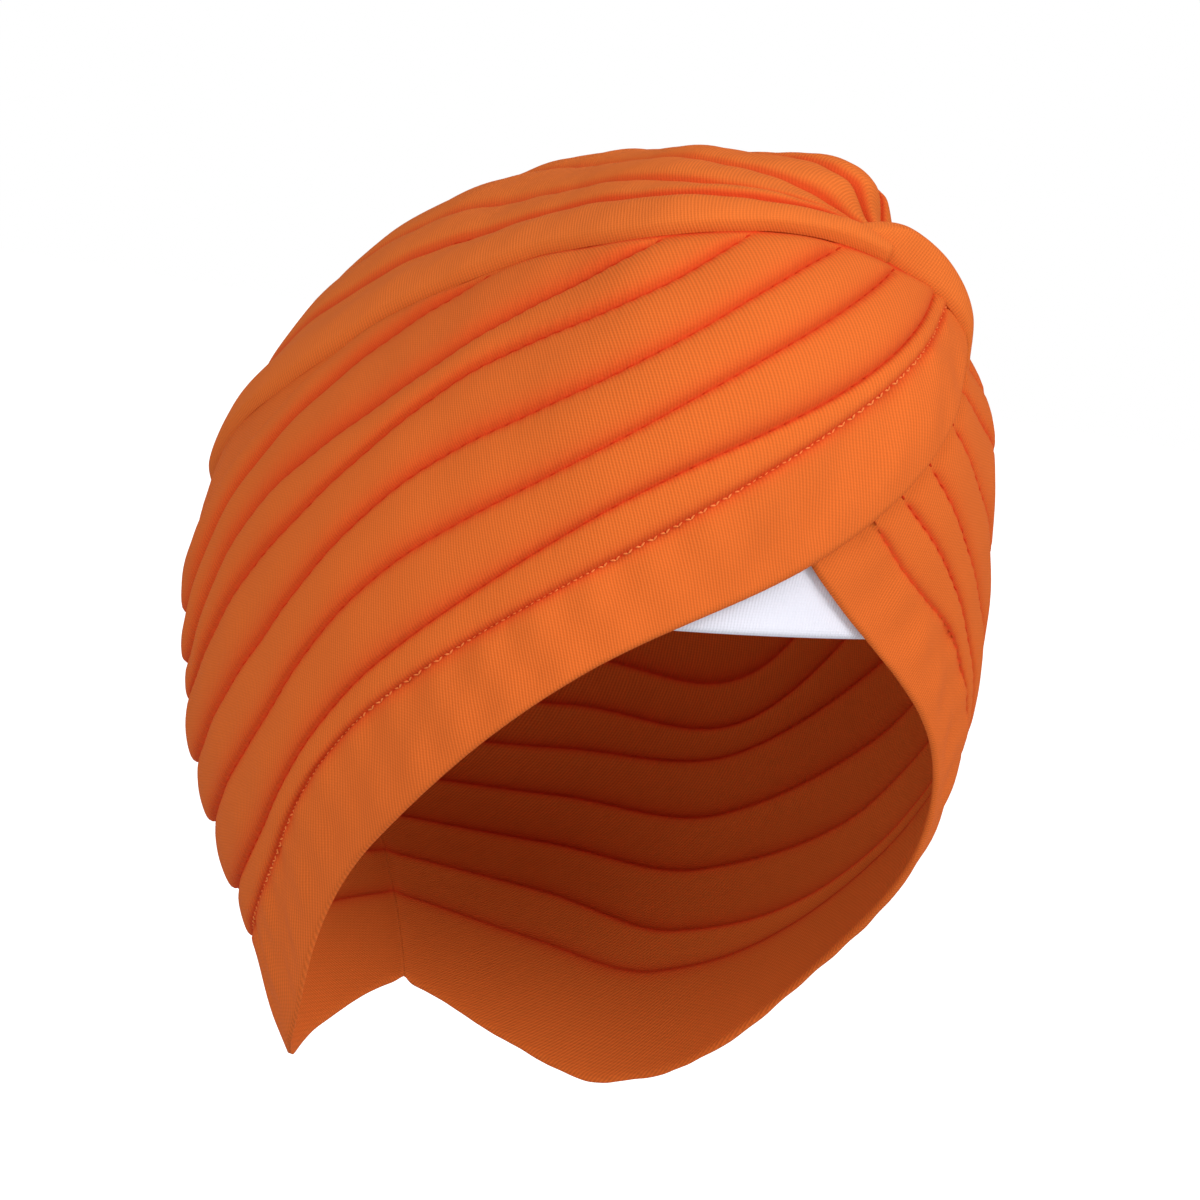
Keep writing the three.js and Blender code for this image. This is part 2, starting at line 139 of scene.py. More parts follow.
# Crown: its tip behind the knot, its folds, its ridge pleat and the puff behind the notch
CROWN_TIP = {"azimuth": -18.0, "half": 6.0, "elevation": 50.4}
CROWN_END = 178.0  # azimuth of both ridges at the back
CROWN_BACK = 196.0  # elevation of the middle line there, counted on over the top
CROWN_PACE = 1.35
CROWN_CENTRED = 0.35  # share of the length after which the middle line is over the middle
CROWN_POINT = (150.0, 168.0)  # azimuths over which the back end comes to lie on the panels
CROWN_STATIONS = 200
CROWN_CROWDING = 1.25
CROWN_ROWS = 18
CROWN_FOLD_SPOTS = (0, 0.11, 0.2, 0.33, 0.5, 0.67, 0.8, 0.89, 1)
CROWN_SWELL = 2.2 * MM
CROWN_FADE = (80.0, 130.0)  # azimuths over which the swell sinks toward the back
CROWN_KEPT = 0.5  # share of the swell that is kept there
FULL_FOLD = 0.07  # radians that a fold needs for its full swell
RIDGE_PLEAT_WIDTH = 0.075  # radians
RIDGE_PLEAT_SHARE = 0.5  # of the crown's width, at most
RIDGE_PLEAT_RISE, RIDGE_PLEAT_LEAN = 0.8, 1.2
CROWN_MARGIN = 3.5  # degrees that lie on a side panel
MARGIN_SHARE = 0.12  # of the crown's width, at most
CROWN_EDGE_SINK = 1.3 * MM
PUFF = {"azimuth": -20, "elevation": 61, "rise": 7 * MM, "spread": 9}
NOTCH = (54.0, 59.0)  # elevations over which the puff begins

# Strap over the knot, from the ridge pleat down to the left, in degrees and millimetres
BAND_PATH = {
    "azimuth": (-7, -13, -19, -25, -30, -34, -37),
    "elevation": (49.9, 49.5, 48.2, 46.0, 43.0, 39.6, 36),
    "width": (4.5, 8, 10, 10.5, 10, 8, 6),
    "seat": (6.4, 7.2, 8.0, 8.4, 7.7, 5.4, 3.6),
    "edge": (5.0, 3.2, 2.8, 5.0, 6.0, 4.4, 3.2),
}
BAND_STEPS = 120
BAND_ACROSS = 20
BAND_EDGE = 1.2 * MM
BAND_ARCH = 2.3 * MM
BAND_HANG = 0.6  # share of the width over which it comes up from edge to seat
BAND_START, BAND_GROWN = 0.12, 1.6  # share of the thickness at an end, and stations to its whole
BAND_STRIDE = 0.02

# White cloth in the notch under the crossing hems
INSERT = {"from": -24, "to": 30, "low": -2.5, "slope": -0.09, "high": 26}
INSERT_GAP = 0.9 * MM
INSERT_THICKNESS = 1.5 * MM
INSERT_COLUMNS, INSERT_ROWS = 90, 40

# Finishes: ribs and loops of the knit, wander of the ribs, unevenness of dye and thread, colours
KNIT = {"wale": 0.74 * MM, "course": 0.6 * MM}
RIB_SHARE = 0.75
RIB_WANDER = {"scale": 60, "reach": 1.2 * MM}
KNIT_BUMP = {"strength": 0.7, "depth": 0.12 * MM}
# darker colour as a share of the cloth's: for the painted shade between the ribs and for the mottle of the
# dye
DARKER = 0.42
MOTTLE = {"scale": 45, "detail": 5}
THREAD_TWIST = 900
ORANGE = (0.78, 0.152, 0.022)
ORANGE_ACROSS = (0.78, 0.165, 0.025)
# colour of the painted shade in and beside the grooves
GROOVE_SHADE_RED = (0.62, 0.045, 0.007)
# white cloth, made a little grey and lavender as painted shade where it sits under the hems
WHITE_WITH_PAINTED_SHADE = (0.77, 0.77, 0.86)
WHITE_SHADE = (0.73, 0.73, 0.82)
FLOOR_GREY = (0.6, 0.6, 0.6)

# Stitches: where they are sewn, and their sizes
STITCH_SPAN = (-29.0, 179.5)
FOLD_LINE_POINTS, CROWN_LINE_POINTS = 700, 300
CLEAR_OF_RIDGE, CLEAR_OF_HEM = 0.8, 0.5  # degrees
CROWN_SEWN = {1: (0.03, 0.5), 2: (0.01, 0.12)}
STITCH_SIZES = ("Pitch", "Length", "Width", "Lean")
FOLD_STITCH = {"pitch": 3.7 * MM, "length": 1.9 * MM, "width": 0.62 * MM, "lean": 0.0, "sink": 0.02 * MM}
CROWN_STITCH = {**FOLD_STITCH, "sink": -0.35 * MM}
PLAIN_STITCH = {"pitch": 2.6 * MM, "length": 1.5 * MM, "width": 0.45 * MM, "lean": 0.0, "sink": 0.05 * MM}
HEM_STITCH = {"pitch": 1.5 * MM, "length": 1.9 * MM, "width": 0.5 * MM, "lean": 0.55, "sink": 0.02 * MM}

# Camera: where it stands, how far, and how much the photograph is turned
CAMERA_AZIMUTH = 31.0
CAMERA_ELEVATION = 3.0
CAMERA_ROLL = 10.0
CAMERA_DISTANCE = 1.3
CAMERA_AIM_DROP = 7.4 * MM
CAMERA_LENS = 173.3

# Floor and light
FLOOR_LEVEL = -0.30
FLOOR_HALF = 30.0
SKY = 0.34
LIGHTS = {
    "key": {"place": (0.6, -1.7, 0.9), "size": 1.0, "power": 29},
    "fill": {"place": (-1.7, -0.9, 0.6), "size": 1.4, "power": 22},
    "top": {"place": (-0.1, 0.0, 1.8), "size": 1.2, "power": 4},
}


def smooth(start, end, value):
    t = np.clip((np.asarray(value, float) - start) / (end - start), 0, 1)
    return t * t * (3 - 2 * t)


def curve_through(values, place, after=None):
    """Smooth curve through evenly spaced values, straight past its ends unless told what comes after."""
    v = np.asarray(values, float)
    beyond = 2 * v[-1] - v[-2] if after is None else after
    padded = np.concatenate([[2 * v[0] - v[1]], v, [beyond]])
    last = len(v) - 1
    t = np.clip(np.asarray(place, float), 0, last)
    i = np.minimum(t.astype(int), last - 1)
    f = t - i
    a, b, c, d = (padded[i + k] for k in range(4))
    bend = (2 * a - 5 * b + 4 * c - d) * f**2 + (3 * b - a - 3 * c + d) * f**3
    return 0.5 * (2 * b + (c - a) * f + bend)


def direction(azimuth, elevation):
    a, e = np.broadcast_arrays(np.radians(azimuth), np.radians(elevation))
    return np.stack([-np.sin(a) * np.cos(e), -np.cos(a) * np.cos(e), np.sin(e)], -1)


def unit(vectors):
    return vectors / np.linalg.norm(vectors, axis=-1, keepdims=True)


def head_radius(dirs):
    """Distance from the middle of the head to its surface, in these directions."""
    level = np.hypot(dirs[..., 0], dirs[..., 1])
    elevation = np.degrees(np.arctan2(dirs[..., 2], level))
    place = (elevation - HEAD_ELEVATIONS[0]) / (HEAD_ELEVATIONS[1] - HEAD_ELEVATIONS[0])
    over_the_top = (("front", "back"), ("side", "side"), ("back", "front"))
    front, side, back = (curve_through(HEAD_MM[a], place, HEAD_MM[b][-2]) * MM for a, b in over_the_top)
    along = np.where(dirs[..., 1] < 0, front, back)
    reach = np.maximum(level, 1e-9)
    toward_top = smooth(HEAD_ROUNDNESS["from"], HEAD_ROUNDNESS["to"], elevation)
    power = HEAD_ROUNDNESS["sides"] + (HEAD_ROUNDNESS["top"] - HEAD_ROUNDNESS["sides"]) * toward_top
    lengthwise = (np.abs(dirs[..., 1]) / reach / along) ** power
    sideways = (np.abs(dirs[..., 0]) / reach / side) ** power
    return (lengthwise + sideways) ** (-1 / power)


def on_head(dirs, height):
    """Points in these directions, at this height above the head."""
    return dirs * (head_radius(dirs) + height)[..., None]


def angle_between(dirs, azimuth, elevation):
    return np.degrees(np.arccos(np.clip(dirs @ direction(azimuth, elevation), -1, 1)))


def mound(dirs, shape):
    """Rounded mound that dies out with the angle from its middle."""
    away = angle_between(dirs, shape["azimuth"], shape["elevation"])
    return shape["rise"] * np.exp(-((away / shape["spread"]) ** 2))


def fold_place(azimuth):
    """Place of these azimuths among the stations of the folds, counted from the knot."""
    return (np.asarray(azimuth) - FOLD_STATIONS[0]) / FOLD_STEP


def ridge_elevation(azimuth):
    return curve_through(RIDGE, fold_place(azimuth))


def fold_elevations(azimuth, left):
    """Elevation of every fold at these azimuths, one row for each fold."""
    place = fold_place(azimuth)
    rows = []
    for name, values in FOLDS.items():
        row = curve_through(values, place)
        if left:
            row = row - LEFT_DROP.get(name, OTHER_DROP) * (1 - smooth(*DROP_FADE, azimuth))
        if left and name == "hem_seam":
            row = row - SEAM_SAG["sag"] * (1 - smooth(SEAM_SAG["from"], SEAM_SAG["to"], azimuth))
        rows.append(row)
    return np.stack(rows)


def pillow(t):
    """Rounded section of a stuffed pleat, fullest a little below its middle."""
    lean = np.clip(t, 0, 1) ** PLEAT_LEAN
    return np.maximum(1 - np.abs(2 * lean - 1) ** PLEAT_FLATNESS, 0) ** PLEAT_FULLNESS


def ripple(u, v, waves):
    """Gentle unevenness of hand-guided cloth, as a sum of plane waves."""
    total = np.zeros_like(u)
    for wave in waves:
        along = u * math.cos(wave["turn"]) + v * math.sin(wave["turn"])
        total = total + wave["size"] * np.sin(2 * math.pi * along / wave["length"] + wave["start"])
    return total


def grid_lengths(points):
    """Real lengths along both ways of a grid of points, for the cloth's own coordinates."""
    across = np.linalg.norm(np.diff(points, axis=0), axis=-1)
    up = np.linalg.norm(np.diff(points, axis=1), axis=-1)
    u = np.concatenate([np.zeros((1, points.shape[1])), np.cumsum(across, 0)])
    v = np.concatenate([np.zeros((points.shape[0], 1)), np.cumsum(up, 1)], 1)
    return u - u[u.shape[0] // 2], v


def rim_roundness(points, radius, sewn_end=False):
    """1 inside a sheet, falling in a quarter circle to its rims, but not to an end sewn to another."""
    u, v = grid_lengths(points)
    width = u - u[0] if sewn_end else np.minimum(u - u[0], u[-1] - u)
    height = np.minimum(v, v[:, -1:] - v)
    near = np.clip(np.minimum(width, height) / radius, 0, 1)
    return np.maximum(np.sqrt(1 - (1 - near) ** 2), RIM_LEAST)


def crossing_lift(azimuth):
    """Height by which the right panel rides over the left one near the brow."""
    return CROSS_LIFT * (1 - smooth(CROSS_FULL, CROSS_END, azimuth))


def cloth_object(name, dirs, middle, half, groove, material, flat=None):
    """Closed sheet half a wall to both sides of its middle height, with coordinates and a groove mask that
    paints shade into its colour.
    """
    outer = on_head(dirs, middle + half)
    inner = on_head(dirs, middle - half)
    columns, rows = outer.shape[:2]
    index = np.arange(columns * rows).reshape(columns, rows)
    under = index + columns * rows

    def quads(a, b, c, d):
        return np.stack([x.ravel() for x in (a, b, c, d)], -1)

    faces = np.concatenate([
        quads(index[:-1, :-1], index[1:, :-1], index[1:, 1:], index[:-1, 1:]),
        quads(under[:-1, :-1], under[:-1, 1:], under[1:, 1:], under[1:, :-1]),
        quads(index[1:, 0], index[:-1, 0], under[:-1, 0], under[1:, 0]),
        quads(index[:-1, -1], index[1:, -1], under[1:, -1], under[:-1, -1]),
        quads(index[0, :-1], index[0, 1:], under[0, 1:], under[0, :-1]),
        quads(index[-1, 1:], index[-1, :-1], under[-1, :-1], under[-1, 1:]),
    ])
    points = np.concatenate([outer.reshape(-1, 3), inner.reshape(-1, 3)])
    corners = points[faces]
    crosses = np.cross(corners[:, 1] - corners[:, 0], corners[:, 2] - corners[:, 0])
    if np.sum(corners[:, 0] * crosses) < 0:
        faces = faces[:, ::-1]
    mesh = bpy.data.meshes.new(name)
    mesh.from_pydata(points.tolist(), [], faces.tolist())
    mesh.update()
    u, v = flat or grid_lengths(outer)
    one_side = np.stack([u, v], -1).reshape(-1, 2)
    both_sides = np.concatenate([one_side, one_side])
    layer = mesh.uv_layers.new(name="cloth")
    layer.data.foreach_set("uv", both_sides[faces.ravel()].astype(np.float32).ravel())
    mask = mesh.attributes.new("groove", "FLOAT", "POINT")
    mask.data.foreach_set("value", np.concatenate([groove.ravel()] * 2).astype(np.float32))
    mesh.polygons.foreach_set("use_smooth", [True] * len(mesh.polygons))
    mesh.materials.append(material)
    piece = bpy.data.objects.new(name, mesh)
    bpy.context.scene.collection.objects.link(piece)
    return piece


def hem_above(azimuth):
    """Elevation of the right panel's hem edge at these azimuths of the left panel."""
    return fold_elevations(np.maximum(-azimuth, FOLD_STATIONS[0]), False)[0]


def left_uncovered(azimuth, elevation):
    """Share of its fullness that the left panel keeps near the right panel's hem, none under it."""
    covered = elevation - hem_above(azimuth)
    return np.where(-azimuth < FOLD_STATIONS[0], 1, 1 - smooth(COVER_START, COVER_FLAT, covered))


def panel_heights(azimuth, elevation, left):
    """Heights of a side panel's outer and inner side above the head, and the painted shade of its grooves
    and pleats.
    """
    dirs = direction(-azimuth if left else azimuth, elevation)
    folds = fold_elevations(azimuth, left)
    interval = np.clip(np.sum(elevation >= folds[1:], axis=0), 0, len(folds) - 2)
    low = np.take_along_axis(folds, interval[None], 0)[0]
    high = np.take_along_axis(folds, interval[None] + 1, 0)[0]
    width = np.maximum(high - low, 1e-6)
    t = np.clip((elevation - low) / width, 0, 1)
    hem = interval == 0
    below_ridge = ridge_elevation(azimuth) - elevation
    flatten = np.clip(below_ridge / RIDGE_FADE, 0, 1)
    calm = 1.0
    if left:
        flatten = flatten * left_uncovered(azimuth, elevation)
        toward_back = smooth(LEFT_CALM["from"], LEFT_CALM["to"], azimuth)
        calm = LEFT_CALM["share"] + (1 - LEFT_CALM["share"]) * toward_back
    from_seam = BACK_SEAM - azimuth
    swell = np.where(hem, HEM_SWELL, PLEAT_SWELL * np.minimum(1, width / FULL_PLEAT))
    swell = swell * pillow(t) * flatten * calm * (1 - np.exp(-((from_seam / SEAM_FLAT) ** 2)))
    u, v = np.radians(azimuth) * CLOTH_RADIUS, np.radians(elevation) * CLOTH_RADIUS
    past = np.maximum(elevation - folds[-1], 0)
    near = (np.minimum(t, 1 - t) * np.radians(width) + np.radians(past)) * CLOTH_RADIUS
    edge = np.where(t < 0.5, t / SHADE["above"], (1 - t + past / FULL_PLEAT) / SHADE["below"])
    free_edge = hem & (t < 0.5)
    near = np.where(free_edge, np.inf, near)
    edge = np.where(free_edge, np.inf, edge)
    # painted shade: a band on the pleat beside each groove, and a dark line in each groove
    shade = SHADE["share"] * calm * np.exp(-(edge ** SHADE["fall"])) * flatten
    shade = np.maximum(shade, np.exp(-((near / SHADE_LINE_WIDTH) ** 2)) * flatten)
    # painted shadow under the crown's overlapping edge, along the ridge toward the front
    ridge_shadow = np.exp(-((below_ridge / RIDGE_SHADOW["width"]) ** 2))
    shade = np.maximum(shade, ridge_shadow * (1 - smooth(RIDGE_SHADOW["fade"], RIDGE_SHADOW["end"], azimuth)))
    groove = np.exp(-((near / GROOVE_WIDTH) ** 2)) * flatten
    hem_share = HEM_CALM["edge"] + (1 - HEM_CALM["edge"]) * smooth(0, HEM_CALM["reach"], t)
    uneven = np.where(hem, ripple(u, v, HEM_WAVES) * hem_share, ripple(u, v, PLEAT_WAVES))
    uneven = uneven * smooth(0, RIPPLE_FADE, below_ridge)
    pucker = np.exp(-((near / PUCKER["reach"]) ** 2)) * np.sin(2 * math.pi * u / PUCKER["pitch"])
    dip = SEAM_DIP["depth"] * np.exp(-((from_seam / SEAM_DIP["width"]) ** 2))
    if left:
        below = np.clip(below_ridge / FULLNESS_FADE, 0, 1)
        lift = mound(dirs, LEFT_FULLNESS) * below * left_uncovered(azimuth, elevation)
    else:
        lift = crossing_lift(azimuth)
        swell = swell + mound(dirs, GATHER)
    detail = uneven + PUCKER["rise"] * pucker * flatten - GROOVE_DEPTH * groove
    return lift + WALL + swell + detail - dip, lift + LINED_SHARE * swell - dip / 2, shade


def panel_grid(left):
    """Azimuth and elevation of a side panel's columns and rows, its rows along the folds."""
    azimuth = np.linspace(FOLD_STATIONS[0], BACK_SEAM + SEAM_OVERLAP, PANEL_COLUMNS + 1)
    folds = fold_elevations(azimuth, left)
    ridge = ridge_elevation(azimuth)
    rows = []
    for k in range(len(folds) - 1):
        count = HEM_ROWS if k == 0 else PLEAT_ROWS
        even = np.arange(count) / count
        crowded = 0.5 - 0.5 * np.cos(np.pi * even)
        share = 0.5 * even + 0.5 * crowded
        rows.extend(folds[k] + (folds[k + 1] - folds[k]) * s for s in share)
    above = np.maximum(ridge - folds[-1], 0)
    rows.extend(folds[-1] + above * (k / TOP_ROWS) ** 2 for k in range(TOP_ROWS))
    rows = np.stack(rows, 1)
    steps = np.arange(rows.shape[1], 0, -1)
    rows = np.minimum(rows, ridge[:, None] - steps[None] * ROW_STEP)
    grown = smooth(TUCK["from"], TUCK["full"], azimuth)
    tuck = TUCK["run"] * grown * (1 - smooth(TUCK["fade"], CROWN_END, azimuth))
    if not left:
        tuck = tuck + KNOT_TUCK["run"] * (1 - smooth(KNOT_TUCK["from"], KNOT_TUCK["to"], azimuth))
    rows = np.concatenate([rows, ridge[:, None], (ridge + TUCK["least"] + tuck)[:, None]], 1)
    return np.broadcast_to(azimuth[:, None], rows.shape).copy(), rows


def wrap_panel(name, left, material):
    azimuth, elevation = panel_grid(left)
    dirs = direction(-azimuth if left else azimuth, elevation)
    # the third value is the painted shade of grooves and pleats, kept as the groove mask
    top, bottom, groove = panel_heights(azimuth, elevation, left)
    half = (top - bottom) / 2 * rim_roundness(on_head(dirs, bottom), RIM["panel"], sewn_end=True)
    middle = (top + bottom) / 2
    round_head = np.radians(azimuth - RIB_MIDDLE) * np.cos(np.radians(elevation))
    flat = (round_head * CLOTH_RADIUS, np.radians(elevation) * CLOTH_RADIUS)
    return cloth_object(name, dirs, middle, half, groove, material, flat)


def crown_azimuths(along):
    """Azimuths of the right and left ridge at a crown station, from its tip (0) to the back (1)."""
    right = CROWN_TIP["azimuth"] + CROWN_TIP["half"]
    left = CROWN_TIP["half"] - CROWN_TIP["azimuth"]
    return right + (CROWN_END - right) * along, left + (CROWN_END - left) * along


def crown_direction(along, across):
    """Directions on the arch from the right ridge (0) over the top (a half) to the left ridge (1)."""
    right_side, left_side = crown_azimuths(along)
    over = CROWN_TIP["elevation"] + (CROWN_BACK - CROWN_TIP["elevation"]) * along**CROWN_PACE
    aside = CROWN_TIP["azimuth"] * (1 - smooth(0, CROWN_CENTRED, along))
    right = direction(right_side, ridge_elevation(right_side))
    middle = direction(aside, over)
    left = direction(-left_side, ridge_elevation(left_side))
    weights = ((1 - across) * (1 - 2 * across), 4 * across * (1 - across), across * (2 * across - 1))
    return unit(sum(way * weight[..., None] for way, weight in zip((right, middle, left), weights)))


def crown_width(along):
    """Width of the crown at these stations, from ridge to ridge, in radians."""
    edge = crown_direction(along, np.zeros_like(along))
    top_line = crown_direction(along, np.full_like(along, 0.5))
    return np.maximum(2 * np.arccos(np.clip(np.sum(edge * top_line, -1), -1, 1)), 1e-6)


def crown_spots(along):
    """Places of the fold lines across the crown: its ridge pleat keeps its width behind the knot."""
    spots = np.array(CROWN_FOLD_SPOTS)
    first = np.clip(RIDGE_PLEAT_WIDTH / crown_width(along), spots[1], RIDGE_PLEAT_SHARE)[:, None]
    opened = first + (1 - first) * (spots - spots[1])[None] / (1 - spots[1])
    opened[:, 0] = 0
    return opened


def crown_grid():
    """Crown stations, place across, place in the fold and width of that fold, for each point."""
    along = np.linspace(0, 1, CROWN_STATIONS + 1) ** CROWN_CROWDING
    opened = crown_spots(along)
    width = crown_width(along)[:, None]
    t = np.arange(CROWN_ROWS) / CROWN_ROWS
    across, part, fold = [], [], []
    for low, high in zip(opened.T[:-1, :, None], opened.T[1:, :, None]):
        across.append(low + (high - low) * t)
        part.append(np.broadcast_to(t, across[-1].shape))
        fold.append(np.broadcast_to((high - low) * width, across[-1].shape))
    across.append(np.ones_like(width))
    part.append(np.ones_like(width))
    fold.append(fold[-1][:, -1:])
    across, part, fold = (np.concatenate(rows, 1) for rows in (across, part, fold))
    return np.broadcast_to(along[:, None], across.shape).copy(), across, part, fold


def puff_height(dirs):
    """Height of the gathered puff of cloth behind the knot."""
    elevation = np.degrees(np.arcsin(dirs[..., 2]))
    start = np.where(dirs[..., 1] < 0, smooth(*NOTCH, elevation), 1)
    return start * mound(dirs, PUFF)


def crown_heights(along, across, part, fold):
    """Heights of the crown's outer and inner side above the head, and its groove mask, which also paints
    shade into the grooves.
    """
    azimuth = crown_azimuths(along)[0]
    dirs = crown_direction(along, across)
    width = crown_width(along)
    margin = np.minimum(MARGIN_SHARE, np.radians(CROWN_MARGIN) / width)
    over_right = crossing_lift(azimuth) + CROSS_LIFT
    lift = np.maximum.reduce([
        over_right * (1 - smooth(0, 1, (across - margin) / (2 * margin))),
        CROSS_LIFT * (1 - smooth(0, 1, (1 - across - margin) / (2 * margin))),
        CROSS_LIFT * smooth(*CROWN_POINT, azimuth),
    ])
    kept = 1 - (1 - CROWN_KEPT) * smooth(*CROWN_FADE, azimuth)
    swell = CROWN_SWELL * kept * np.minimum(1, fold / FULL_FOLD)
    ridge_pleat = across * width < fold
    swell = swell * np.where(ridge_pleat, RIDGE_PLEAT_RISE * pillow(part**RIDGE_PLEAT_LEAN), pillow(part))
    u, v = np.radians(azimuth) * CLOTH_RADIUS, across * width * CLOTH_RADIUS
    near = np.where(ridge_pleat, 1 - part, np.minimum(part, 1 - part)) * fold * CLOTH_RADIUS
    groove = np.exp(-((near / GROOVE_WIDTH) ** 2))
    under = lift + puff_height(dirs)
    top = under + WALL + swell + ripple(u, v, PLEAT_WAVES) - GROOVE_DEPTH * groove
    return top, under + LINED_SHARE * swell, groove


def crown_panel(material):
    along, across, part, fold = crown_grid()
    dirs = crown_direction(along, across)
    top, bottom, groove = crown_heights(along, across, part, fold)
    rim = rim_roundness(on_head(dirs, bottom), RIM["crown"])
    half = (top - bottom) / 2 * rim
    middle = (top + bottom) / 2 - CROWN_EDGE_SINK * (1 - rim)
    return cloth_object("crown_cloth", dirs, middle, half, groove, material)


def knot_band(material):
    last = len(BAND_PATH["azimuth"]) - 1
    place = np.linspace(0, last, BAND_STEPS + 1)

    def at(key, where):
        return curve_through(BAND_PATH[key], where)

    def middle_line(where):
        return direction(at("azimuth", where), at("elevation", where))

    here = middle_line(place)
    ahead = middle_line(np.minimum(last, place + BAND_STRIDE))
    behind = middle_line(np.maximum(0, place - BAND_STRIDE))
    aside = unit(np.cross(here, ahead - behind))
    t = np.linspace(0, 1, BAND_ACROSS + 1)
    half_width = at("width", place) * MM / 2 / head_radius(here)
    offset = half_width[:, None] * (2 * t - 1)[None]
    dirs = unit(here[:, None] + aside[:, None] * offset[..., None])
    seat, edge = (at(key, place)[:, None] * MM for key in ("seat", "edge"))
    seat = edge + (seat - edge) * smooth(0, BAND_HANG, t)[None]
    full = smooth(0, BAND_GROWN, place) * smooth(0, BAND_GROWN, last - place)
    grown = BAND_START + (1 - BAND_START) * full
    thickness = grown[:, None] * (BAND_EDGE + BAND_ARCH * pillow(t))[None]
    half = thickness / 2 * rim_roundness(on_head(dirs, seat), RIM["strap"])
    middle = seat + thickness / 2
    return cloth_object("knot_strap", dirs, middle, half, np.zeros_like(offset), material)


def forehead_insert(material):
    share = np.linspace(0, 1, INSERT_COLUMNS + 1)
    azimuth = INSERT["from"] + (INSERT["to"] - INSERT["from"]) * share
    low = INSERT["low"] + INSERT["slope"] * azimuth
    up = np.linspace(0, 1, INSERT_ROWS + 1)
    elevation = low[:, None] + (INSERT["high"] - low)[:, None] * up[None]
    dirs = direction(np.broadcast_to(azimuth[:, None], elevation.shape), elevation)
    depth = np.full(elevation.shape, -INSERT_GAP - INSERT_THICKNESS / 2)
    half = INSERT_THICKNESS / 2 * rim_roundness(on_head(dirs, depth), RIM["insert"])
    return cloth_object("brow_cloth", dirs, depth, half, np.zeros_like(elevation), material)


# Materials

def new_group(name, inputs, outputs):
    group = bpy.data.node_groups.new(name, "ShaderNodeTree")
    for label, kind, value in inputs:
        socket = group.interface.new_socket(label, in_out="INPUT", socket_type=kind)
        socket.default_value = value
    for label, kind in outputs:
        group.interface.new_socket(label, in_out="OUTPUT", socket_type=kind)
    return group, group.nodes.new("NodeGroupInput"), group.nodes.new("NodeGroupOutput")


def feed(tree, socket, value):
    """Sets an input to a value, or links it to the output that is given."""
    if isinstance(value, bpy.types.NodeSocket):
        tree.links.new(value, socket)
    else:
        socket.default_value = value


def calculate(tree, operation, *values):
    """Math node on sockets or numbers; gives its output."""
    node = tree.nodes.new("ShaderNodeMath")
    node.operation = operation
    for socket, value in zip(node.inputs, values):
        feed(tree, socket, value)
    return node.outputs[0]


def blend_colour(tree, share, first, second):
    """Mix node from a first to a second colour, by their sockets' numbers; gives its colour output."""
    node = tree.nodes.new("ShaderNodeMix")
    node.data_type = "RGBA"
    for number, value in ((0, share), (6, first), (7, second)):
        feed(tree, node.inputs[number], value)
    return node.outputs[2]


def knit_group():
    """Fine ribs and loops of a jersey in the cloth's own coordinates: their height, from 0 to 1."""
    sizes = {"Wale": KNIT["wale"], "Course": KNIT["course"], "Lean": 0.0}
    group, given, out = new_group(
        "jersey_knit",
        [(label, "NodeSocketFloat", value) for label, value in sizes.items()],
        [("Height", "NodeSocketFloat")],
    )
    coordinates = group.nodes.new("ShaderNodeUVMap")
    coordinates.uv_map = "cloth"
    split = group.nodes.new("ShaderNodeSeparateXYZ")
    group.links.new(coordinates.outputs[0], split.inputs[0])
    wander = group.nodes.new("ShaderNodeTexNoise")
    wander.inputs["Scale"].default_value = RIB_WANDER["scale"]
    group.links.new(coordinates.outputs[0], wander.inputs["Vector"])

    def wave(place, pitch):
        turns = calculate(group, "MULTIPLY", calculate(group, "DIVIDE", place, pitch), 2 * math.pi)
        return calculate(group, "MULTIPLY_ADD", calculate(group, "SINE", turns), 0.5, 0.5)

    leaning = calculate(group, "MULTIPLY", split.outputs[1], given.outputs["Lean"])
    along = calculate(group, "ADD", split.outputs[0], leaning)
    drift = calculate(group, "MULTIPLY", wander.outputs[0], RIB_WANDER["reach"])
    along = calculate(group, "ADD", along, drift)
    rib = calculate(group, "MULTIPLY", wave(along, given.outputs["Wale"]), RIB_SHARE)
    loop = calculate(group, "MULTIPLY", wave(split.outputs[1], given.outputs["Course"]), 1 - RIB_SHARE)
    group.links.new(calculate(group, "ADD", rib, loop), out.inputs["Height"])
    return group


knit = knit_group()


def new_material(name):
    material = bpy.data.materials.new(name)
    material.use_nodes = True
    return material, material.node_tree, material.node_tree.nodes["Principled BSDF"]


